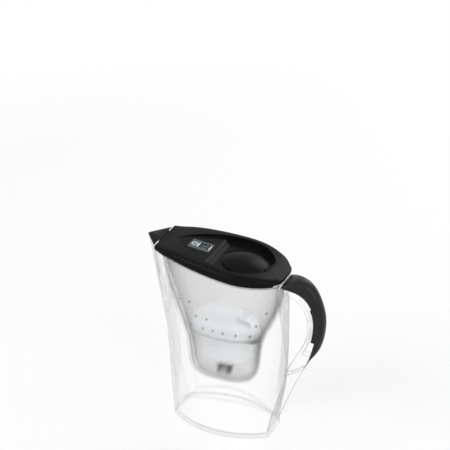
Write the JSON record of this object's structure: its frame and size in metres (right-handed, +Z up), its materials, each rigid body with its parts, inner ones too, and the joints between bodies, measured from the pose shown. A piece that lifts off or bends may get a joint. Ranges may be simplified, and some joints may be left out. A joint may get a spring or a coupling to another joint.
{
  "type": "water filter pitcher",
  "caption": "Slim clear jug with a pouring beak and loop handle, a smoke-grey hopper holding a filter cartridge, and a black lid with refill flap, spout flap and change indicator.",
  "frame": {"origin": "centre of the jug's base, on the surface it stands on", "axes": "+Z up, -X towards the pouring beak, +X towards the handle, the jug is symmetric about the XZ plane"},
  "size_m": [0.2598, 0.1068, 0.2716],
  "materials": {
    "clear_jug": "polished clear styrene",
    "smoke_hopper": "polished smoke-grey clear plastic",
    "black_lid": "satin black moulded plastic",
    "dark_post": "matt dark grey moulding",
    "white_cartridge": "satin white moulding",
    "filter_screen": "fine woven mesh",
    "filter_granules": "packed carbon and resin granules",
    "steel_pin": "ground steel",
    "indicator_slate": "satin slate plastic",
    "pale_button": "satin grey button",
    "display_glass": "clear display window",
    "display_panel": "grey-green display",
    "contact_rubber": "striped rubber connector",
    "board_green": "lacquered board",
    "cell_steel": "nickel-plated steel",
    "spring_steel": "spring strip"
  },
  "bodies": {
    "jug": {"jug": "clear_jug", "handle_grip": "black_lid"},
    "hopper": {"hopper": "smoke_hopper", "outlet_post": "dark_post"},
    "cartridge": {"cartridge_cup": "white_cartridge", "cartridge_cap": "white_cartridge", "inlet_screen": "filter_screen", "outlet_screen": "filter_screen", "filter_media": "filter_granules"},
    "lid": {"lid_shell": "black_lid", "lid_rear_cap": "black_lid", "spout_pin": "steel_pin", "refill_pin": "steel_pin"},
    "spout_flap": {"spout_flap": "black_lid"},
    "refill_flap": {"refill_flap": "black_lid"},
    "indicator": {"indicator_cover": "indicator_slate", "indicator_case": "indicator_slate", "display_window": "display_glass", "display_panel": "display_panel", "contact_strips": "contact_rubber", "circuit_board": "board_green", "button_dome": "spring_steel", "coin_cell": "cell_steel", "battery_clip": "spring_steel"},
    "start_button": {"start_button": "pale_button"}
  },
  "joints": [
    {"name": "hopper_lift", "type": "slide", "parent": "jug", "child": "hopper", "axis": [0, 0, 1], "range_m": [0, 0.1175]},
    {"name": "cartridge_lift", "type": "slide", "parent": "hopper", "child": "cartridge", "axis": [0, 0, 1], "range_m": [0, 0.162]},
    {"name": "lid_lift", "type": "slide", "parent": "cartridge", "child": "lid", "axis": [0, 0, 1], "range_m": [0, 0.02]},
    {"name": "spout_flap_hinge", "type": "hinge", "parent": "lid", "child": "spout_flap", "pos_m": [-0.0948, 0, 0.26974], "axis": [0, -1, 0], "range_deg": [-70, 0]},
    {"name": "refill_flap_hinge", "type": "hinge", "parent": "lid", "child": "refill_flap", "pos_m": [0.06202, 0, 0.25588], "axis": [0, -1, 0], "range_deg": [-94, 0]},
    {"name": "indicator_lift", "type": "slide", "parent": "lid", "child": "indicator", "axis": [0.1, 0, 0.995], "range_m": [0, 0.025]},
    {"name": "button_press", "type": "slide", "parent": "indicator", "child": "start_button", "axis": [0.1, 0, 0.995], "range_m": [-0.0006, 0], "stiffness_N_per_m": 600}
  ]
}
